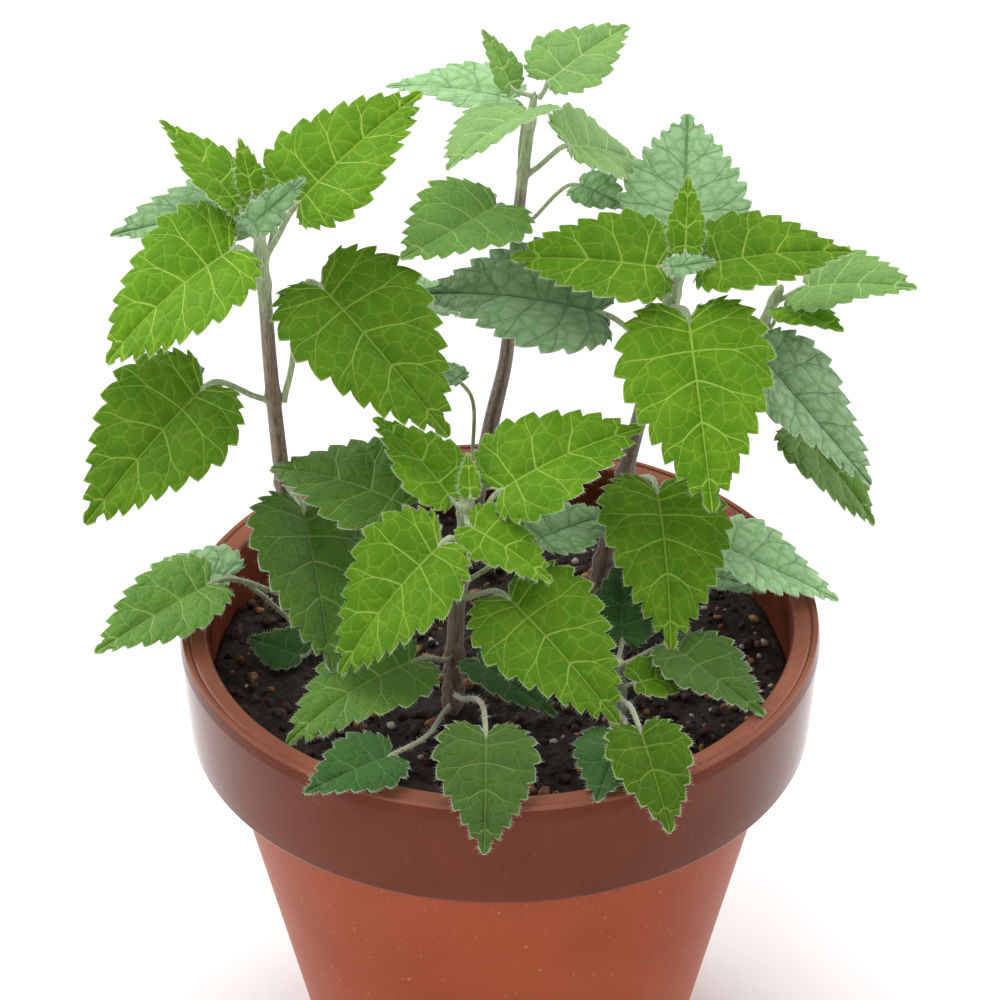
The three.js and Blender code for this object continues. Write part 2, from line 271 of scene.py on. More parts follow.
def makePot(shape, materials):
    bm = bmesh.new()
    edges = []
    previous = None
    for point in potProfile(shape):
        vertex = bm.verts.new((point.x * mm, 0, point.y * mm))
        if previous is not None:
            edges.append(bm.edges.new((previous, vertex)))
        previous = vertex
    bmesh.ops.spin(bm, geom=list(bm.verts) + edges, cent=(0, 0, 0), axis=(0, 0, 1),
                   angle=math.tau, steps=shape["steps"], use_merge=True)
    bmesh.ops.recalc_face_normals(bm, faces=bm.faces)
    top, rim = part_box("pot")[1].z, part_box("pot")[1].x
    bandLow = top - (shape["bandHeight"] + 0.4) * mm
    for face in bm.faces:
        middle = face.calc_center_median()
        outward = Vector((middle.x, middle.y, 0)).normalized().dot(face.normal)
        if middle.z > top - 1.3 * mm and outward > -0.6:
            face.material_index = 2
        elif outward < -0.3 or (middle.z > 6 * mm and Vector(middle.xy).length < rim * 0.5 and face.normal.z > 0):
            face.material_index = 3
        elif middle.z > bandLow:
            face.material_index = 1
    return finishPiece("clayPot", bm, materials, ("pot",))


# ---- soil: a bumpy surface with grains strewn over it

soilShape = {
    "rings": 60,
    "around": 160,
    "gap": 0.15,
    "lump": 1.9,
    "crumb": 0.9,
    "grains": 900,
    "seed": 7,
}


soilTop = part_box("soil")[1]


def soilHeightAt(x, y, shape):
    edge, high = soilTop.x, soilTop
    mound = 2 * mm * (1 - (x * x + y * y) / (edge * edge))
    base = high.z - 2 * mm + mound
    lump = noise.fractal(Vector((x, y, 0.3)) / (11 * mm), 1.0, 2.0, 4) * shape["lump"] * mm
    crumb = noise.noise(Vector((x, y, 1.7)) / (2.6 * mm)) * shape["crumb"] * mm
    return base + lump + crumb - 0.6 * mm


def makeSoil(shape, material):
    low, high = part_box("soil")
    bm = bmesh.new()
    bmesh.ops.create_circle(bm, cap_ends=False, segments=shape["around"], radius=high.x)
    ring = list(bm.edges)
    for i in range(1, shape["rings"]):
        made = bmesh.ops.extrude_edge_only(bm, edges=ring)["geom"]
        ring = [g for g in made if isinstance(g, bmesh.types.BMEdge)]
        verts = [g for g in made if isinstance(g, bmesh.types.BMVert)]
        share = (shape["rings"] - i) / (shape["rings"] - i + 1)
        bmesh.ops.scale(bm, vec=(share, share, 1), verts=verts)
    bmesh.ops.contextual_create(bm, geom=ring)
    for vertex in bm.verts:
        x, y = vertex.co.x, vertex.co.y
        vertex.co.z = soilHeightAt(x, y, shape)
    rim = [e for e in bm.edges if e.is_boundary]
    made = bmesh.ops.extrude_edge_only(bm, edges=rim)["geom"]
    skirt = [g for g in made if isinstance(g, bmesh.types.BMVert)]
    for vertex in skirt:
        vertex.co.z = high.z - 9 * mm
        vertex.co.x *= 0.97
        vertex.co.y *= 0.97
    bmesh.ops.contextual_create(bm, geom=[g for g in made if isinstance(g, bmesh.types.BMEdge)])
    return finishPiece("soilBed", bm, [material], ("soil",))


def makeGrains(name, count, sizes, seed, material, shape, flatness=0.7):
    # small irregular lumps, part sunk in the soil
    rng = random.Random(seed)
    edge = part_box("soil")[1].x - 2 * mm
    bm = bmesh.new()
    for i in range(count):
        radius = edge * math.sqrt(rng.random())
        turn = rng.uniform(0, math.tau)
        x, y = radius * math.cos(turn), radius * math.sin(turn)
        size = mix(sizes[0], sizes[1], rng.random() ** 2) * mm / 2
        place = Matrix.Translation((x, y, soilHeightAt(x, y, shape) + size * rng.uniform(-0.2, 0.6)))
        spin = Matrix.Rotation(rng.uniform(0, math.tau), 4, Vector(
            (rng.uniform(-1, 1), rng.uniform(-1, 1), rng.uniform(-1, 1))).normalized())
        stretch = Matrix.Diagonal((rng.uniform(0.7, 1.3), rng.uniform(0.6, 1.1), rng.uniform(0.45, 0.9), 1))
        if any(abs(p.z - place[2][3]) < size * 1.3 + 0.6 * mm and
               math.hypot(p.x - x, p.y - y) < size + 2.5 * mm for p in lowPoints):
            continue
        made = bmesh.ops.create_icosphere(bm, subdivisions=1, radius=size, matrix=place @ spin @ stretch)
        for vertex in made["verts"]:
            vertex.co += noise.noise_vector(vertex.co / size * 0.8) * size * 0.35
    return finishPiece(name, bm, [material])


# ---- stems: a blunt square stalk through the rings of each CAD stem, swollen where leaves stand

stemShape = {
    "around": 20,
    "rings": 110,
    "corners": 0.10,
    "swelling": 0.28,
    "swellingReach": 1.6,
}


def mergedCopy(name):
    bm = bmesh.new()
    bm.from_mesh(nodes[name].data)
    bmesh.ops.remove_doubles(bm, verts=bm.verts, dist=0.0005 * mm)
    return bm


def stemLine(name):
    # the middle and the radius of each of the stem's rings, from the foot up
    bm = mergedCopy(name)
    places = sorted((v.co.copy() for v in bm.verts), key=lambda co: co.z)
    bm.free()
    middles, radii = [], []
    for i in range(0, len(places), 8):
        ring = places[i:i + 8]
        middle = sum(ring, Vector()) / len(ring)
        middles.append(middle)
        radii.append((ring[0] - middle).length)
    return middles, radii


def sweep(bm, middles, radii, around, corners=0.0, values=None, layer=None, groove=0.0):
    # extrudes a circle along a line of middles, keeping it square to the line, and closes both ends
    made = bmesh.ops.create_circle(bm, cap_ends=False, segments=around, radius=1)
    ring = made["verts"]
    unit = [v.co.copy() for v in ring]
    forward = (middles[1] - middles[0]).normalized()
    side = Vector((1, 0, 0))
    side = (side - forward * side.dot(forward)).normalized()
    everything = list(ring)
    edges = [e for e in bm.edges if e.verts[0] in ring and e.verts[1] in ring]
    for i, middle in enumerate(middles):
        if i > 0:
            extruded = bmesh.ops.extrude_edge_only(bm, edges=edges)["geom"]
            fresh = [g for g in extruded if isinstance(g, bmesh.types.BMVert)]
            edges = [g for g in extruded if isinstance(g, bmesh.types.BMEdge)]
            old = ring
            ring = [None] * len(old)
            for vertex in fresh:
                for edge in vertex.link_edges:
                    other = edge.other_vert(vertex)
                    if other in oldIndex:
                        ring[oldIndex[other]] = vertex
            everything += ring
            ahead = middles[min(i + 1, len(middles) - 1)] - middles[i - 1]
            forward = ahead.normalized()
            side = (side - forward * side.dot(forward)).normalized()
        across = forward.cross(side)
        for k, vertex in enumerate(ring):
            flat = unit[k]
            angle = math.atan2(flat.y, flat.x)
            reach = radii[i] * (1 + corners * math.cos(4 * angle))
            vertex.co = middle + (side * math.cos(angle) + across * math.sin(angle)) * reach
            if layer is not None:
                vertex[layer] = values[i]
        if i == 0:
            bmesh.ops.contextual_create(bm, geom=edges)
        oldIndex = {v: k for k, v in enumerate(ring)}
    bmesh.ops.contextual_create(bm, geom=edges)
    return everything


def makeStem(side, shape, material):
    name = "stem_" + side
    middles, radii = stemLine(name)
    attached = [ringsOf(leaf)[0] for leaf in leafNames if leaf.startswith("leaf_" + side + "_")]
    heights = [sum(ring, Vector()).z / 4 for ring in attached]
    bm = bmesh.new()
    young = bm.verts.layers.float.new("young")
    top = middles[-1].z
    line, thick, values = [], [], []
    count = shape["rings"]
    for i in range(count + 1):
        t = i / count
        middle = along(middles, t)
        if i == 0:
            middle = middle - Vector((0, 0, 3 * mm))  # the foot stands in the soil
        radius = along([Vector((r, 0)) for r in radii], t).x
        near = 0.0
        for height in heights:
            near = max(near, math.exp(-((middle.z - height) / (shape["swellingReach"] * mm)) ** 2))
        closing = math.sqrt(clamp((1 - t) * 22))
        line.append(middle)
        thick.append(radius * (1 + shape["swelling"] * near) * closing + 0.02 * mm)
        values.append(smooth(0.0, 48 * mm, top - middle.z))
    sweep(bm, line, thick, shape["around"], shape["corners"], [1 - v for v in values], young)
    downAlong(side, line, thick, downShape["stem"], random.Random(side))
    return finishPiece("stem_" + side + "_bark", bm, [material], (name,))


# ---- leaves: every blade is drawn over the rings of its CAD leaf

leafShape = {
    "rowsPerTooth": 8,
    "toothDepth": 0.058,  # share of the blade's length
    "toothPeak": 0.75,  # how far along a tooth its point lies
    "ribCrowding": 1.5,  # draws the side veins' starts towards the stalk
    "veinArch": 0.10,
    "forkStart": 0.45,
    "thickness": 0.32,
    "crown": 0.055,  # how far each half bulges, as a share of its width
    "veinGroove": 0.28,
    "quilt": 0.42,
    "ripple": 0.7,
    "stalkAround": 12,
}
leafNames = sorted((n for n in nodes if n.startswith("leaf_")), key=lambda n: (n.split("_")[1], int(n.split("_")[2])))
ringStore = {}


def ringsOf(name):
    # the CAD leaf's rings from its stem to its tip: left edge, rib top, right edge, rib underside
    if name in ringStore:
        return ringStore[name]
    bm = mergedCopy(name)
    ends = [v for v in bm.verts if len(v.link_edges) < 6]
    seed = ends[0]
    first = [v for v in ends if v is seed or any(e.other_vert(seed) is v for e in v.link_edges)]
    first = [v for v in ends if v in first or all(
        any(e.other_vert(v) is other for e in v.link_edges) for other in first[1:3])]
    second = [v for v in ends if v not in first]

    def height(group):
        a, b = [v for v in group if len(v.link_edges) == 4]
        return (a.co - b.co).length

    start = first if height(first) > height(second) else second
    up, down = sorted((v for v in start if len(v.link_edges) == 4), key=lambda v: -v.co.z)
    middle = sum((v.co for v in start), Vector()) / 4
    beyond = {e.other_vert(v) for v in start for e in v.link_edges} - set(start)
    forward = sum((v.co for v in beyond), Vector()) / len(beyond) - middle
    leftward = (up.co - down.co).cross(forward)
    left, right = sorted((v for v in start if len(v.link_edges) == 5),
                         key=lambda v: -(v.co - middle).dot(leftward))
    ring, seen, rings = [left, up, right, down], set(start), []
    while True:
        rings.append([v.co.copy() for v in ring])
        ahead = [{e.other_vert(v) for e in v.link_edges} - seen for v in ring]
        following = [next(iter(ahead[k] & ahead[k - 1]), None) for k in range(4)]
        if None in following:
            break
        seen |= set(following)
        ring = following
    bm.free()
    ringStore[name] = rings
    return rings


def envelope(points):
    # the edge through the tooth tips, which are every second point
    last = len(points) - 1
    whole = [p.copy() for p in points]
    for i in range(2, last - 1, 2):
        a, b = points[i - 1], points[i + 1]
        if 3 <= i <= last - 4:
            whole[i] = (a + b) * 0.5625 - (points[i - 3] + points[i + 3]) * 0.0625
        else:
            whole[i] = (a + b) * 0.5
    return whole


def toothAt(t, peak):
    # a tooth's outline from notch to notch: a round back, a point leaning to the tip, a steep front
    return (t / peak) ** 0.6 if t < peak else ((1 - t) / (1 - peak)) ** 0.8


def makeBlade(bm, name, shape, toneAndPaintedLight):
    rings = ringsOf(name)[5:]
    ribs = [(ring[1] + ring[3]) * 0.5 for ring in rings]
    edges = {1: envelope([ring[2] for ring in rings]), -1: envelope([ring[0] for ring in rings])}
    rng = random.Random(name)
    length = (ribs[-1] - ribs[0]).length / mm
    width = max((ring[0] - ring[2]).length for ring in rings) / mm
    teeth = 2 * round(2.4 + length / 9)
    rows = teeth * shape["rowsPerTooth"]
    columns = max(7, round(width * 0.72))
    forward = (ribs[-1] - ribs[0]).normalized()
    across = (rings[8][2] - rings[8][0]).normalized()
    base = ribs[0].copy()
    shift = Vector((rng.uniform(-50, 50), rng.uniform(-50, 50), rng.uniform(-50, 50)))
    wave = rng.uniform(0, math.tau)
    size = clamp(length / 40, 0.3, 1.1)
    tipStart = 1 - 1 / teeth
    tipHalf = (along(edges[1], tipStart) - along(edges[-1], tipStart)).length / 2

    planeUv = bm.loops.layers.uv.new("plane")
    veinUv = bm.loops.layers.uv.new("veins")
    gapLayer = bm.verts.layers.float.get("gap")
    toneAndPaintedLightLayer = bm.verts.layers.float.get("toneAndPaintedLight")
    halfLayer = bm.verts.layers.float.get("half")
    sourceLayer = bm.verts.layers.int.new("source")
    grid = bmesh.ops.create_grid(bm, x_segments=2 * columns, y_segments=rows, size=0.5)["verts"]
    here = {}
    for vertex in grid:
        w = clamp(vertex.co.x * 2, -1, 1)
        q = clamp(vertex.co.y + 0.5)
        side = 1 if w >= 0 else -1
        t = abs(w)
        a = 0.55 * t + 0.45 * math.sin(t * math.pi / 2)
        s = clamp(q - shape["veinArch"] * a * (1 - a) * 4 * q * (1 - q))
        rib = along(ribs, s ** shape["ribCrowding"])
        edge = along(edges[side], s)
        reach = edge - rib
        blunt = (s - tipStart) / (1 - tipStart)
        if blunt > 0:  # the tip ends in one round lobe
            sideways = across * reach.dot(across)
            lateral = max(sideways.length, 0.72 * tipHalf * math.sqrt(clamp(1 - blunt * blunt)))
            reach += across * side * lateral - sideways
        half = max(reach.length, 1e-6)
        phase = q * teeth
        bite = 1 - toothAt(phase % 1.0, shape["toothPeak"])
        fade = smooth(0.02, 0.10, q) * (phase < teeth - 0.5)
        inward = bite * fade * shape["toothDepth"] * length * mm
        ribStep = along(ribs, clamp(s + 0.02) ** shape["ribCrowding"])
        ribStep -= along(ribs, clamp(s - 0.02) ** shape["ribCrowding"])
        edgeStep = along(edges[side], clamp(s + 0.02)) - along(edges[side], clamp(s - 0.02))
        step = (ribStep + (edgeStep - ribStep) * a) / (clamp(s + 0.02) - clamp(s - 0.02))
        step -= reach * (step.dot(reach) / (half * half))
        gap = step.length * 2 / teeth  # from one side vein to the next
        vertex.co = rib + reach * a - reach * (inward / half) * a ** 4
        here[vertex] = (side, a, q, half, gap, vertex.co.copy())
    bm.normal_update()
    upward = {v: v.normal.copy() for v in grid}
    for vertex, (side, a, q, half, gap, place) in here.items():
        normal = upward[vertex]
        offset = abs((q * teeth / 2) % 1.0 - 0.5)
        fork = 0.25 * smooth(shape["forkStart"], 0.95, a)
        sideVein = abs(offset - fork) * gap / mm
        midrib = a * half / mm
        nearest = min(sideVein, midrib * 0.8)
        bulge = 1 - math.exp(-(nearest / (1.5 * size)) ** 2)
        flat = Vector(((place - base).dot(across), (place - base).dot(forward), 0)) / mm
        lumps = noise.noise(flat / 3.4 + shift) + 0.6 * noise.noise(flat / 1.7 + shift)
        edgeFade = smooth(0, 0.18, 1 - a)
        rise = shape["crown"] * half / mm * math.sin(math.pi * a) ** 0.8
        rise += shape["ripple"] * size * math.sin(q * 13 + wave + side) * a ** 3 * smooth(0, 0.2, 1 - q)
        rise += shape["quilt"] * size * bulge * (0.35 + 0.65 * edgeFade) * (1 + 0.5 * lumps)
        rise -= shape["veinGroove"] * size * math.exp(-(midrib / 0.5) ** 2)
        vertex.co = place + normal * (rise * mm)
        vertex[gapLayer] = gap / mm
        # the per-leaf tone, partly the leaf's own and partly painted light and shade, is kept on each point
        vertex[toneAndPaintedLightLayer] = toneAndPaintedLight
        vertex[halfLayer] = half / mm
    for face in bm.faces:
        for loop in face.loops:
            vertex = loop.vert
            if vertex not in here:
                continue
            side, a, q, half, gap, place = here[vertex]
            flat = place - base
            loop[planeUv].uv = (flat.dot(across) / mm / 10 + shift.x, flat.dot(forward) / mm / 10 + shift.y)
            loop[veinUv].uv = (a * side, q * teeth / 2)
    # thickness: a copy of the sheet goes under the first and is joined to it round the edge
    bm.normal_update()
    upper = [(v.co.copy(), v.normal.copy(), here[v][1]) for v in grid]
    for i, vertex in enumerate(grid):
        vertex[sourceLayer] = i
        side, a, q, half, gap, place = here[vertex]
        if a > 0.999 and rng.random() < 0.9:
            outward = (across * side + forward * rng.uniform(-0.2, 0.9)).normalized()
            addHair(name.split("_")[1], vertex.co.copy(), outward - vertex.normal * rng.uniform(-0.1, 0.5), rng)
    made = bmesh.ops.extrude_face_region(bm, geom=list(bm.faces), use_keep_orig=True)["geom"]
    lower = {g for g in made if isinstance(g, bmesh.types.BMVert)}
    for vertex in lower:
        place, normal, a = upper[vertex[sourceLayer]]
        vertex.co = place - normal * (shape["thickness"] * size ** 0.5 * mix(1, 0.6, a ** 4) * mm)
    for face in bm.faces:
        below = sum(v in lower for v in face.verts)
        face.material_index = 1 if below == len(face.verts) else 2 if below else 0
    return ribs, size


def makeStalk(bm, name, shape, ribs, size, young):
    # a round stalk from inside the stem to the blade, running on under it as its midrib
    rings = ringsOf(name)
    middles = [sum(ring, Vector()) / 4 for ring in rings[:5]]
    radius = (rings[1][0] - rings[1][2]).length / 2
    forward = (middles[1] - middles[0]).normalized()
    path = [middles[0] - forward * 1.3 * mm] + middles + [ribs[0]]
    line, thick = [], []
    for i in range(20):
        t = i / 20
        line.append(along(path, t))
        thick.append(radius * (1.15 - 0.25 * smooth(0, 0.3, t)))
    below = [(ring[3] - ring[1]).normalized() for ring in rings[5:]]
    for i in range(22):
        t = (i / 21) ** 0.65 * 0.965
        reach = max(radius * 0.85 * (1 - t) ** 0.8, 0.12 * mm)
        sink = (shape["thickness"] * size ** 0.5 + shape["veinGroove"] * size - 0.12) * mm + reach
        line.append(along(ribs, t) + along(below, t) * sink * smooth(-0.01, 0.07, t))
        thick.append(reach)
    downAlong(name.split("_")[1], line[2:26], thick[2:26], downShape["stalk"], random.Random(name + "stalk"))
    youngLayer = bm.verts.layers.float.get("young")
    before = set(bm.verts)
    sweep(bm, line, thick, shape["stalkAround"], 0, [young] * len(line), youngLayer)
    for face in bm.faces:
        if face.verts[0] not in before:
            face.material_index = 3


downShape = {"margin": 0.55, "stalk": 0.42, "stem": 0.30, "long": (0.45, 1.0), "thick": 0.032}
hairs = {}


def addHair(side, root, direction, rng):
    long = rng.uniform(*downShape["long"]) * mm
    hairs.setdefault(side, []).append((root, root + direction.normalized() * long))


def downAlong(side, line, thick, every, rng):
    # hairs standing off a round stalk or stem, all the way round
    for a, b, radius in zip(line, line[1:], thick):
        forward = (b - a).normalized()
        aside = forward.orthogonal().normalized()
        across = forward.cross(aside)
        for k in range(round((b - a).length / (every * mm) + rng.random())):
            turn = rng.uniform(0, math.tau)
            out = aside * math.cos(turn) + across * math.sin(turn)
            place = a.lerp(b, rng.random()) + out * radius
            addHair(side, place, out + forward * rng.uniform(-0.2, 0.5), rng)


def makeDown(side, material):
    curve = bpy.data.curves.new("down_" + side, "CURVE")
    curve.dimensions = "3D"
    curve.bevel_depth = downShape["thick"] * mm
    curve.bevel_resolution = 0
    curve.resolution_u = 1
    for root, tip in hairs[side]:
        spline = curve.splines.new("POLY")
        spline.points.add(1)
        spline.points[0].co = (*root, 1)
        spline.points[1].co = (*tip, 1)
        spline.points[1].radius = 0.25
    curve.materials.append(material)
    piece = bpy.data.objects.new("down_" + side, curve)
    bpy.context.scene.collection.objects.link(piece)
    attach(piece, "root")


def makeLeaf(name, shape, toneAndPaintedLight, materials):
    bm = bmesh.new()
    for layer in ("gap", "half", "toneAndPaintedLight", "young"):
        bm.verts.layers.float.new(layer)
    ribs, size = makeBlade(bm, name, shape, toneAndPaintedLight)
    height = sum(ringsOf(name)[0], Vector()).z / 4
    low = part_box("soil")[1].z
    makeStalk(bm, name, shape, ribs, size, mix(0.45, 0.95, smooth(low, low + 70 * mm, height)))
    return finishPiece(name + "_blade", bm, materials, (name,))


slotOf = {part["node"]: part["material_slot"] for part in frame["record"]["subparts"]}


# ---- materials

def veinGroup():
    # lines of the midrib and of the side veins, which fork to the teeth
    tree, given, out = newGroup("leafVeins", [
        ("Veins", "NodeSocketVector", None), ("Gap", "NodeSocketFloat", 4.0), ("Half Width", "NodeSocketFloat", 12.0),
        ("Line", "NodeSocketFloat", 0.3)], [("Mask", "NodeSocketFloat"), ("Nearness", "NodeSocketFloat")])
    link = tree.links.new
    split = addNode(tree, "ShaderNodeSeparateXYZ")
    link(given.outputs["Veins"], split.inputs[0])
    across = mathOf(tree, "ABSOLUTE", split.outputs["X"])
    phase = mathOf(tree, "FRACT", split.outputs["Y"])
    offset = mathOf(tree, "ABSOLUTE", mathOf(tree, "SUBTRACT", phase, 0.5))
    fork = rangeOf(tree, across, leafShape["forkStart"], 0.95, 0, 0.25)
    away = mathOf(tree, "ABSOLUTE", mathOf(tree, "SUBTRACT", offset, fork))
    distance = mathOf(tree, "MULTIPLY", away, given.outputs["Gap"])
    rib = mathOf(tree, "MULTIPLY", mathOf(tree, "MULTIPLY", across, given.outputs["Half Width"]), 0.7)
    nearest = mathOf(tree, "MINIMUM", distance, rib)
    width = mathOf(tree, "MULTIPLY", given.outputs["Line"], rangeOf(tree, across, 0, 1, 1.1, 0.6))
    ratio = mathOf(tree, "DIVIDE", nearest, width)
    link(rangeOf(tree, ratio, 0.35, 1.25, 1, 0), out.inputs["Mask"])
    link(rangeOf(tree, nearest, 0, 1.6, 1, 0), out.inputs["Nearness"])
    return tree


def netGroup():
    # the net of small veins between the side veins, as lines of a given width, and its cells' crowns
    tree, given, out = newGroup("leafNet", [
        ("Plane", "NodeSocketVector", None), ("Cells", "NodeSocketFloat", 3.0), ("Line", "NodeSocketFloat", 0.045)],
        [("Mask", "NodeSocketFloat"), ("Crown", "NodeSocketFloat")])
    link = tree.links.new
    warp = addNode(tree, "ShaderNodeTexNoise", {"Scale": 2.2, "Detail": 2.0}, noise_dimensions="2D")
    link(given.outputs["Plane"], warp.inputs["Vector"])
    shift = addNode(tree, "ShaderNodeVectorMath", {1: (0.5, 0.5, 0.5)}, operation="SUBTRACT")
    link(warp.outputs["Color"], shift.inputs[0])
    scaled = addNode(tree, "ShaderNodeVectorMath", {"Scale": 0.16}, operation="SCALE")
    link(shift.outputs[0], scaled.inputs[0])
    moved = addNode(tree, "ShaderNodeVectorMath", operation="ADD")
    link(given.outputs["Plane"], moved.inputs[0])
    link(scaled.outputs[0], moved.inputs[1])
    cells = addNode(tree, "ShaderNodeTexVoronoi", {"Randomness": 0.95}, voronoi_dimensions="2D",
                    feature="DISTANCE_TO_EDGE")
    link(moved.outputs[0], cells.inputs["Vector"])
    link(given.outputs["Cells"], cells.inputs["Scale"])
    ratio = mathOf(tree, "DIVIDE", cells.outputs["Distance"], given.outputs["Line"])
    link(rangeOf(tree, ratio, 0.25, 1.2, 1, 0), out.inputs["Mask"])
    link(rangeOf(tree, cells.outputs["Distance"], 0, 0.32, 0, 1), out.inputs["Crown"])
    return tree


def hairGroup():
    # fine streaky down, as a mask and a height
    tree, given, out = newGroup("leafDown", [
        ("Plane", "NodeSocketVector", None), ("Density", "NodeSocketFloat", 40.0)],
        [("Mask", "NodeSocketFloat")])
    down = addNode(tree, "ShaderNodeTexNoise", {"Detail": 4.0, "Roughness": 0.7})
    tree.links.new(given.outputs["Plane"], down.inputs["Vector"])
    tree.links.new(given.outputs["Density"], down.inputs["Scale"])
    tree.links.new(rangeOf(tree, down.outputs["Fac"], 0.45, 0.75), out.inputs["Mask"])
    return tree


veins = veinGroup()
net = netGroup()
down = hairGroup()


def leafMaterial(name, look):
    material, tree, shader = newMaterial(name)
    link = tree.links.new
    veinUv = addNode(tree, "ShaderNodeUVMap", uv_map="veins").outputs[0]
    planeUv = addNode(tree, "ShaderNodeUVMap", uv_map="plane").outputs[0]
    gap = addNode(tree, "ShaderNodeAttribute", attribute_name="gap").outputs["Fac"]
    half = addNode(tree, "ShaderNodeAttribute", attribute_name="half").outputs["Fac"]
    toneAndPaintedLight = addNode(tree, "ShaderNodeAttribute", attribute_name="toneAndPaintedLight").outputs["Fac"]
    lines = useGroup(tree, veins, {"Line": look["lineWidth"]})
    link(veinUv, lines.inputs["Veins"])
    link(gap, lines.inputs["Gap"])
    link(half, lines.inputs["Half Width"])
    mesh = useGroup(tree, net, {"Cells": look["cells"]})
    link(planeUv, mesh.inputs["Plane"])
    fine = useGroup(tree, net, {"Cells": look["cells"] * 2.7, "Line": 0.07})
    link(planeUv, fine.inputs["Plane"])
    fuzz = useGroup(tree, down)
    link(planeUv, fuzz.inputs["Plane"])
    patches = noiseOf(tree, planeUv, 1.1)
    colour = mixColour(tree, rangeOf(tree, patches, 0.3, 0.7), look["shade"], look["lamina"])
    # the middles of the net's cells take the look's crown colour: painted highlights on the bulges of pale leaves,
    # darker middles beside the painted glow of fresh ones
    crown = mathOf(tree, "MULTIPLY", mesh.outputs["Crown"], look["crownStrength"])
    colour = mixColour(tree, crown, colour, look["crown"])
    # the net and vein lines take the look's line colour: painted light shining through the upper skins from behind,
    # painted shade in the vein grooves of pale leaves, and the underside's own paler veins
    faint = mathOf(tree, "MULTIPLY", fine.outputs["Mask"], look["net"] * 0.35)
    colour = mixColour(tree, faint, colour, look["line"])
    colour = mixColour(tree, mathOf(tree, "MULTIPLY", mesh.outputs["Mask"], look["net"]), colour, look["line"])
    colour = mixColour(tree, mathOf(tree, "MULTIPLY", lines.outputs["Mask"], look["veins"]), colour, look["line"])
    split = addNode(tree, "ShaderNodeSeparateXYZ")
    link(veinUv, split.inputs[0])
    inside = mathOf(tree, "SUBTRACT", 1.0, mathOf(tree, "ABSOLUTE", split.outputs["X"]))
    edge = rangeOf(tree, mathOf(tree, "MULTIPLY", inside, half), 0.08, 0.5, look["edge"], 0)
    # the per-leaf tone scales the colour's value, partly the leaf's own tone and partly painted light and shade; the
    # lightest-toned leaves are also mixed towards a pale grey-green, a painted haze of light
    lift = addNode(tree, "ShaderNodeHueSaturation")
    link(colour, lift.inputs["Color"])
    link(toneAndPaintedLight, lift.inputs["Value"])
    paintedLightMist = mixColour(tree, rangeOf(tree, toneAndPaintedLight, 1.2, 1.8, 0, 0.28), lift.outputs[0], (0.42, 0.55, 0.38))
    link(mixColour(tree, edge, paintedLightMist, look["rim"]), shader.inputs["Base Color"])
    rough = look["roughness"]
    link(rangeOf(tree, mesh.outputs["Crown"], 0, 1, rough + 0.12, rough), shader.inputs["Roughness"])
    height = mathOf(tree, "MULTIPLY", fine.outputs["Crown"], 0.22)
    height = mathOf(tree, "MULTIPLY_ADD", mesh.outputs["Crown"], 0.6, height)
    height = mathOf(tree, "MULTIPLY_ADD", fuzz.outputs["Mask"], 0.12, height)
    height = mathOf(tree, "MULTIPLY_ADD", lines.outputs["Mask"], -0.6, height)
    relief = addNode(tree, "ShaderNodeBump", {"Strength": 1.0, "Distance": look["relief"] * mm})
    link(height, relief.inputs["Height"])
    link(relief.outputs[0], shader.inputs["Normal"])
    shader.inputs["Sheen Weight"].default_value = look["sheen"]
    shader.inputs["Sheen Roughness"].default_value = 0.4
    shader.inputs["Specular IOR Level"].default_value = look["specular"]
    return material


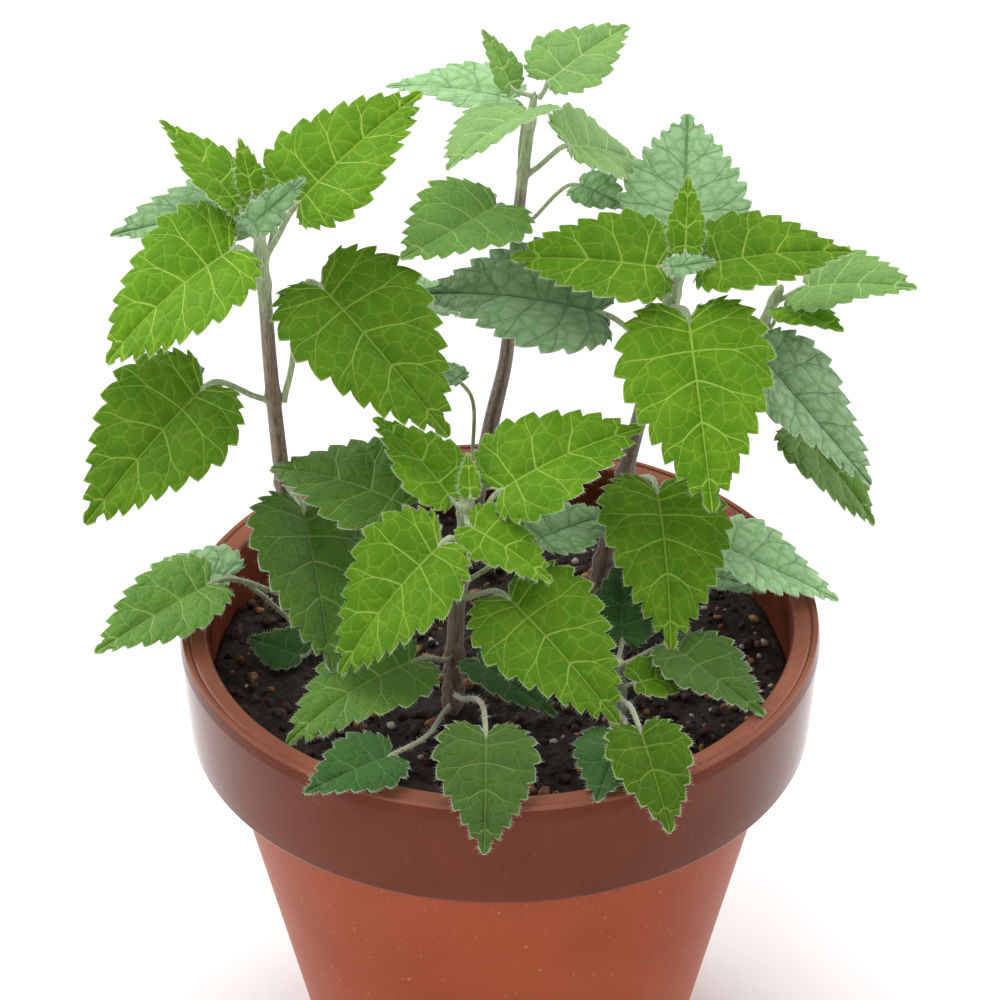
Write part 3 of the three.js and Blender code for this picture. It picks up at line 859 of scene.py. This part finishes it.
# each look's line colour goes into the vein and net lines and its crown colour into the middles of the net's cells. The
# lighter lines of the fresh skin, and more faintly of the green and deep skins, are painted light shining through the
# leaf from behind, and the fresh skin's darker cell middles go with that painted glow. On the pale skin the darker
# lines are painted shade in the vein grooves and the lighter crowns are painted highlights on the bulges. The
# underside's lighter veins are its own colour.
leafLooks = {
    "fresh_leaf": {
        "lamina": (0.135, 0.290, 0.010), "shade": (0.085, 0.215, 0.007), "line": (0.36, 0.54, 0.08),
        "crown": (0.085, 0.225, 0.006), "crownStrength": 0.4, "veins": 0.8, "net": 0.24, "edge": 0.6,
        "rim": (0.50, 0.64, 0.28), "lineWidth": 0.24, "cells": 2.4, "relief": 0.22, "roughness": 0.5,
        "sheen": 0.0, "specular": 0.08},
    "green_leaf": {
        "lamina": (0.100, 0.225, 0.018), "shade": (0.062, 0.165, 0.014), "line": (0.30, 0.45, 0.11),
        "crown": (0.095, 0.225, 0.020), "crownStrength": 0.3, "veins": 0.6, "net": 0.2, "edge": 0.5,
        "rim": (0.48, 0.60, 0.36), "lineWidth": 0.28, "cells": 2.4, "relief": 0.3, "roughness": 0.48,
        "sheen": 0.06, "specular": 0.2},
    "deep_leaf": {
        "lamina": (0.045, 0.125, 0.022), "shade": (0.028, 0.088, 0.016), "line": (0.12, 0.23, 0.08),
        "crown": (0.050, 0.135, 0.030), "crownStrength": 0.3, "veins": 0.5, "net": 0.25, "edge": 0.5,
        "rim": (0.30, 0.40, 0.25), "lineWidth": 0.28, "cells": 2.6, "relief": 0.3, "roughness": 0.55,
        "sheen": 0.06, "specular": 0.12},
    "pale_leaf": {
        "lamina": (0.235, 0.430, 0.170), "shade": (0.175, 0.350, 0.120), "line": (0.105, 0.260, 0.080),
        "crown": (0.330, 0.520, 0.270), "crownStrength": 0.5, "veins": 0.55, "net": 0.35, "edge": 0.55,
        "rim": (0.55, 0.66, 0.48), "lineWidth": 0.26, "cells": 2.6, "relief": 0.42, "roughness": 0.5,
        "sheen": 0.12, "specular": 0.4},
    "underside": {
        "lamina": (0.240, 0.370, 0.150), "shade": (0.180, 0.300, 0.110), "line": (0.42, 0.54, 0.30),
        "crown": (0.200, 0.330, 0.120), "crownStrength": 0.3, "veins": 0.7, "net": 0.5, "edge": 0.3,
        "rim": (0.50, 0.60, 0.40), "lineWidth": 0.45, "cells": 2.4, "relief": 0.3, "roughness": 0.65,
        "sheen": 0.25, "specular": 0.2},
}


def plainMaterial(name, first, second, scale, roughness, sheen=0.0, bump=0.1):
    material, tree, shader = newMaterial(name)
    place = addNode(tree, "ShaderNodeTexCoord").outputs["Object"]
    spots = noiseOf(tree, place, scale)
    tree.links.new(mixColour(tree, rangeOf(tree, spots, 0.35, 0.65), first, second), shader.inputs["Base Color"])
    relief = addNode(tree, "ShaderNodeBump", {"Strength": 1.0, "Distance": bump * mm})
    tree.links.new(spots, relief.inputs["Height"])
    tree.links.new(relief.outputs[0], shader.inputs["Normal"])
    shader.inputs["Roughness"].default_value = roughness
    shader.inputs["Sheen Weight"].default_value = sheen
    return material


def barkMaterial():
    # brown and ridged at the foot, green and downy towards the tip
    material, tree, shader = newMaterial("stemBark")
    link = tree.links.new
    place = addNode(tree, "ShaderNodeTexCoord").outputs["Object"]
    young = addNode(tree, "ShaderNodeAttribute", attribute_name="young").outputs["Fac"]
    stretched = addNode(tree, "ShaderNodeMapping", {"Scale": (1, 1, 0.12)})
    link(place, stretched.inputs["Vector"])
    streaks = noiseOf(tree, stretched.outputs[0], 2200)
    blotch = noiseOf(tree, place, 160)
    old = mixColour(tree, rangeOf(tree, streaks, 0.35, 0.65), (0.115, 0.066, 0.040), (0.25, 0.165, 0.11))
    fresh = mixColour(tree, rangeOf(tree, streaks, 0.3, 0.7), (0.24, 0.32, 0.13), (0.46, 0.54, 0.33))
    turn = mathOf(tree, "ADD", young, mathOf(tree, "MULTIPLY_ADD", blotch, 0.5, -0.25))
    colour = mixColour(tree, rangeOf(tree, turn, 0.15, 0.75), old, fresh)
    link(colour, shader.inputs["Base Color"])
    relief = addNode(tree, "ShaderNodeBump", {"Strength": 1.0, "Distance": 0.12 * mm})
    link(streaks, relief.inputs["Height"])
    link(relief.outputs[0], shader.inputs["Normal"])
    shader.inputs["Roughness"].default_value = 0.55
    shader.inputs["Sheen Weight"].default_value = 0.5
    return material


def clayMaterial():
    material, tree, shader = newMaterial("terracotta")
    link = tree.links.new
    place = addNode(tree, "ShaderNodeTexCoord").outputs["Object"]
    cloud = noiseOf(tree, place, 22, 4)
    grit = noiseOf(tree, place, 900, 3)
    body = mixColour(tree, rangeOf(tree, cloud, 0.3, 0.7), (0.30, 0.050, 0.011), (0.345, 0.066, 0.018))
    body = mixColour(tree, rangeOf(tree, grit, 0.66, 0.74), body, (0.50, 0.22, 0.11))
    link(body, shader.inputs["Base Color"])
    relief = addNode(tree, "ShaderNodeBump", {"Strength": 1.0, "Distance": 0.1 * mm})
    link(grit, relief.inputs["Height"])
    link(relief.outputs[0], shader.inputs["Normal"])
    shader.inputs["Roughness"].default_value = 0.6
    shader.inputs["Specular IOR Level"].default_value = 0.05
    shader.inputs["Coat Weight"].default_value = 0.6
    shader.inputs["Coat IOR"].default_value = 1.25
    shader.inputs["Coat Roughness"].default_value = 0.35
    return material


def glazeMaterial(name, first, second, speck, coat, roughness):
    # a thin smooth glaze over the clay, with a few lighter specks under it
    material, tree, shader = newMaterial(name)
    link = tree.links.new
    place = addNode(tree, "ShaderNodeTexCoord").outputs["Object"]
    cloud = noiseOf(tree, place, 35, 4)
    grit = noiseOf(tree, place, 700, 3)
    body = mixColour(tree, rangeOf(tree, cloud, 0.3, 0.7), first, second)
    body = mixColour(tree, rangeOf(tree, grit, 0.63, 0.75, 0, 0.4), body, speck)
    link(body, shader.inputs["Base Color"])
    relief = addNode(tree, "ShaderNodeBump", {"Strength": 1.0, "Distance": 0.03 * mm})
    link(grit, relief.inputs["Height"])
    link(relief.outputs[0], shader.inputs["Normal"])
    link(rangeOf(tree, cloud, 0.3, 0.7, roughness, roughness + 0.1), shader.inputs["Roughness"])
    shader.inputs["Specular IOR Level"].default_value = 0.05
    shader.inputs["Coat Weight"].default_value = coat
    shader.inputs["Coat IOR"].default_value = 1.23
    shader.inputs["Coat Roughness"].default_value = 0.12
    return material


def soilMaterial(name, first, second, roughness):
    return plainMaterial(name, first, second, 600, roughness, 0, 0.4)


clay = clayMaterial()
glaze = glazeMaterial("glazedBand", (0.115, 0.020, 0.005), (0.15, 0.029, 0.009), (0.27, 0.08, 0.035), 1.0, 0.4)
lip = glazeMaterial("rimTop", (0.21, 0.068, 0.038), (0.28, 0.102, 0.060), (0.42, 0.20, 0.13), 0.5, 0.35)
lining = glazeMaterial("innerWall", (0.115, 0.026, 0.012), (0.165, 0.042, 0.020), (0.30, 0.12, 0.07), 0.2, 0.5)
soil = soilMaterial("pottingSoil", (0.006, 0.004, 0.003), (0.035, 0.020, 0.012), 0.9)
bark = barkMaterial()
margin = plainMaterial("leafMargin", (0.50, 0.62, 0.36), (0.66, 0.74, 0.54), 900, 0.6, 0.5)
leafFaces = {slot: leafMaterial(slot + "Skin", look) for slot, look in leafLooks.items()}
print("materials made")

makePot(potShape, [clay, glaze, lip, lining])
makeSoil(soilShape, soil)
# grains keep clear of the leaves that lie close over the soil
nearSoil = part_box("soil")[1].z + 8 * mm
lowPoints = [point for name in leafNames for ring in ringsOf(name)
             for point in (*ring, (ring[0] + ring[1]) / 2, (ring[1] + ring[2]) / 2) if point.z < nearSoil]
crumbs = soilMaterial("soilCrumbs", (0.016, 0.009, 0.006), (0.075, 0.040, 0.022), 0.85)
bark2 = soilMaterial("barkChips", (0.17, 0.070, 0.026), (0.40, 0.19, 0.075), 0.75)
stones = soilMaterial("paleGrit", (0.38, 0.33, 0.26), (0.62, 0.57, 0.48), 0.6)
makeGrains("soilCrumbs", 1100, (1.2, 4.2), 3, crumbs, soilShape)
makeGrains("barkChips", 260, (1.5, 4.2), 5, bark2, soilShape)
makeGrains("paleGrit", 90, (1.0, 3.0), 9, stones, soilShape)
print("pot and soil made")

for side in ("left", "front", "back", "right", "far", "low"):
    makeStem(side, stemShape, bark)
print("stems made")

# how light each leaf is painted beside others of its kind: partly its own tone, partly painted light and shade set leaf
# by leaf, lighter for the back leaves and darker for the low ones; those not named are 1
leafToneAndPaintedLight = {
    "leaf_left_5": 1.08, "leaf_left_7": 0.78, "leaf_left_8": 0.74, "leaf_left_9": 0.8, "leaf_left_10": 1.3,
    "leaf_front_2": 1.15, "leaf_front_4": 1.0, "leaf_front_5": 0.9, "leaf_front_6": 0.9, "leaf_front_7": 0.78,
    "leaf_front_8": 1.15, "leaf_front_9": 0.95, "leaf_front_11": 0.58, "leaf_right_3": 0.88,
    "leaf_right_4": 0.82, "leaf_right_6": 1.05, "leaf_right_7": 0.68, "leaf_right_8": 0.8,
    "leaf_right_9": 0.85, "leaf_right_10": 1.6, "leaf_back_1": 1.4, "leaf_back_2": 1.55, "leaf_back_3": 1.65,
    "leaf_back_4": 1.3, "leaf_back_5": 1.7, "leaf_back_6": 1.4, "leaf_back_8": 1.1, "leaf_far_1": 1.5,
    "leaf_far_2": 1.2, "leaf_far_3": 0.95, "leaf_low_2": 0.6, "leaf_low_3": 0.8, "leaf_low_4": 0.5,
}
for name in leafNames:
    makeLeaf(name, leafShape, leafToneAndPaintedLight.get(name, 1.0), [leafFaces[slotOf[name]], leafFaces["underside"], margin, bark])
print("leaves made:", len(leafNames))

hairSkin = plainMaterial("downHair", (0.72, 0.78, 0.62), (0.85, 0.88, 0.78), 500, 0.6, 0.3)
for side in ("left", "front", "back", "right", "far", "low"):
    makeDown(side, hairSkin)
print("down made:", sum(len(each) for each in hairs.values()), "hairs")


# ---- floor, lights

studio = {"floor": 6.0, "world": 0.62}


def makeFloor(setup):
    bm = bmesh.new()
    bmesh.ops.create_grid(bm, x_segments=1, y_segments=1, size=setup["floor"])
    mesh = bpy.data.meshes.new("floor")
    bm.to_mesh(mesh)
    bm.free()
    floor = bpy.data.objects.new("floor", mesh)
    bpy.context.scene.collection.objects.link(floor)
    material, tree, shader = newMaterial("floorPaint")
    shader.inputs["Base Color"].default_value = (0.9, 0.9, 0.9, 1)
    shader.inputs["Roughness"].default_value = 0.9
    mesh.materials.append(material)


def makeLight(name, place, aim, size, power, colour=(1, 1, 1)):
    data = bpy.data.lights.new(name, "AREA")
    data.shape = "RECTANGLE"
    data.size, data.size_y = size
    data.energy = power
    data.color = colour
    light = bpy.data.objects.new(name, data)
    light.location = place
    light.rotation_euler = (Vector(aim) - Vector(place)).to_track_quat("-Z", "Y").to_euler()
    bpy.context.scene.collection.objects.link(light)


def makeWorld(strength):
    world = bpy.data.worlds.new("studio")
    world.use_nodes = True
    background = world.node_tree.nodes["Background"]
    background.inputs["Color"].default_value = (1, 1, 1, 1)
    background.inputs["Strength"].default_value = strength
    bpy.context.scene.world = world


makeFloor(studio)
makeWorld(studio["world"])
middle = (0, 0, 0.15)
makeLight("backLeft", (-1.3, 0.9, 0.9), middle, (1.0, 1.2), 16)
makeLight("backRight", (1.4, 0.8, 0.8), middle, (1.0, 1.2), 14)
makeLight("topPanel", (-0.2, 0.1, 1.7), middle, (1.4, 1.2), 13)
makeLight("frontFill", (-0.7, -1.6, 1.0), middle, (1.2, 1.0), 6)
